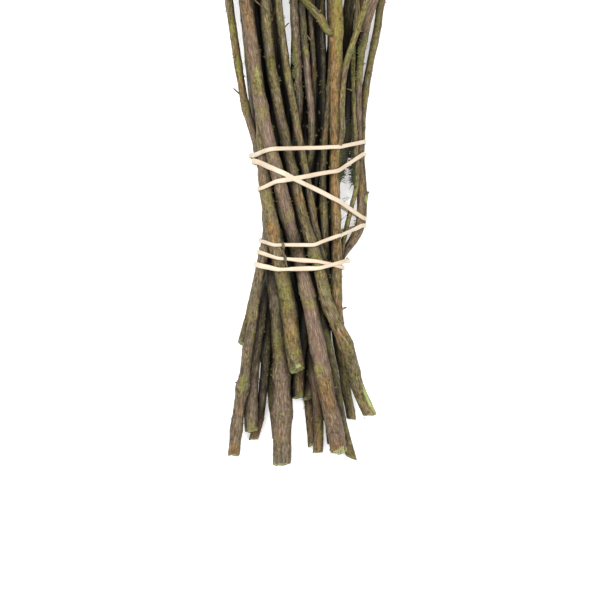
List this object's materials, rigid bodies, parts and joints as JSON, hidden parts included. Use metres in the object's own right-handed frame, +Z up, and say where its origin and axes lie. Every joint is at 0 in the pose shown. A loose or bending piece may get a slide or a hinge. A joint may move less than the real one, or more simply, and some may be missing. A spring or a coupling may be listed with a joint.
{
  "type": "bundle of twigs",
  "caption": "Cut woody twigs with lichened bark and branching tips, gathered at the waist by cream rubber bands and lying flat.",
  "frame": {"origin": "on the surface that the bundle lies on, below the middle of its bounding box", "axes": "+Y along the bundle from the cut ends to the tips, +Z up, +X across the bundle"},
  "size_m": [0.1674, 0.46, 0.0466],
  "materials": {
    "bark_olive": "olive brown bark, matt, with lichen specks",
    "bark_brown": "grey brown bark, matt, lightly ridged",
    "bark_purple": "purple brown bark, smooth and matt",
    "bark_orange": "orange tan bark, matt, flecked",
    "bark_green": "green bark, matt, lichened",
    "bark_dark": "dark weathered bark, matt",
    "rubber_band": "cream natural rubber, satin"
  },
  "bodies": {
    "root": {"left_edge_twig": "bark_olive", "long_purple_twig": "bark_purple", "thick_front_twig": "bark_olive", "thick_long_twig": "bark_brown", "left_long_twig": "bark_brown", "left_short_twig": "bark_dark", "dark_left_twig": "bark_dark", "olive_kinked_twig": "bark_olive", "olive_straight_twig": "bark_olive", "centre_thin_twig": "bark_olive", "orange_front_twig": "bark_orange", "right_thin_twig": "bark_green", "right_outer_twig": "bark_olive", "right_inner_twig": "bark_purple", "lower_middle_twig": "bark_dark", "lower_notched_twig": "bark_dark", "behind_long_twig": "bark_brown", "beside_long_twig": "bark_olive", "short_dark_twig": "bark_dark", "thin_dark_twig": "bark_dark", "back_twig_1": "bark_brown", "back_twig_2": "bark_olive", "back_twig_3": "bark_brown", "back_twig_4": "bark_olive", "back_twig_5": "bark_brown", "back_twig_6": "bark_olive", "back_twig_7": "bark_dark", "back_twig_8": "bark_brown", "back_twig_9": "bark_dark", "back_twig_10": "bark_brown", "back_twig_11": "bark_olive", "back_twig_12": "bark_dark", "orange_twig_right_branch": "bark_olive", "orange_twig_left_branch": "bark_green", "left_edge_branch": "bark_olive", "long_purple_left_branch": "bark_purple", "long_purple_top_branch": "bark_purple", "thick_front_branch": "bark_olive", "thick_long_branch": "bark_brown", "left_long_branch": "bark_brown", "left_short_branch": "bark_dark", "olive_kinked_left_branch": "bark_olive", "olive_kinked_top_branch": "bark_olive", "olive_straight_branch": "bark_olive", "centre_thin_branch": "bark_olive", "orange_twig_top_branch": "bark_orange", "right_outer_branch": "bark_olive", "right_inner_left_branch": "bark_purple", "right_inner_right_branch": "bark_purple", "back_twig_1_branch": "bark_brown", "back_twig_3_branch": "bark_brown", "back_twig_4_branch": "bark_olive", "back_twig_6_branch": "bark_olive", "back_twig_7_branch": "bark_dark", "back_twig_10_branch": "bark_brown", "back_twig_12_branch": "bark_dark", "upper_rubber_band": "rubber_band", "lower_rubber_band": "rubber_band"}
  },
  "joints": []
}
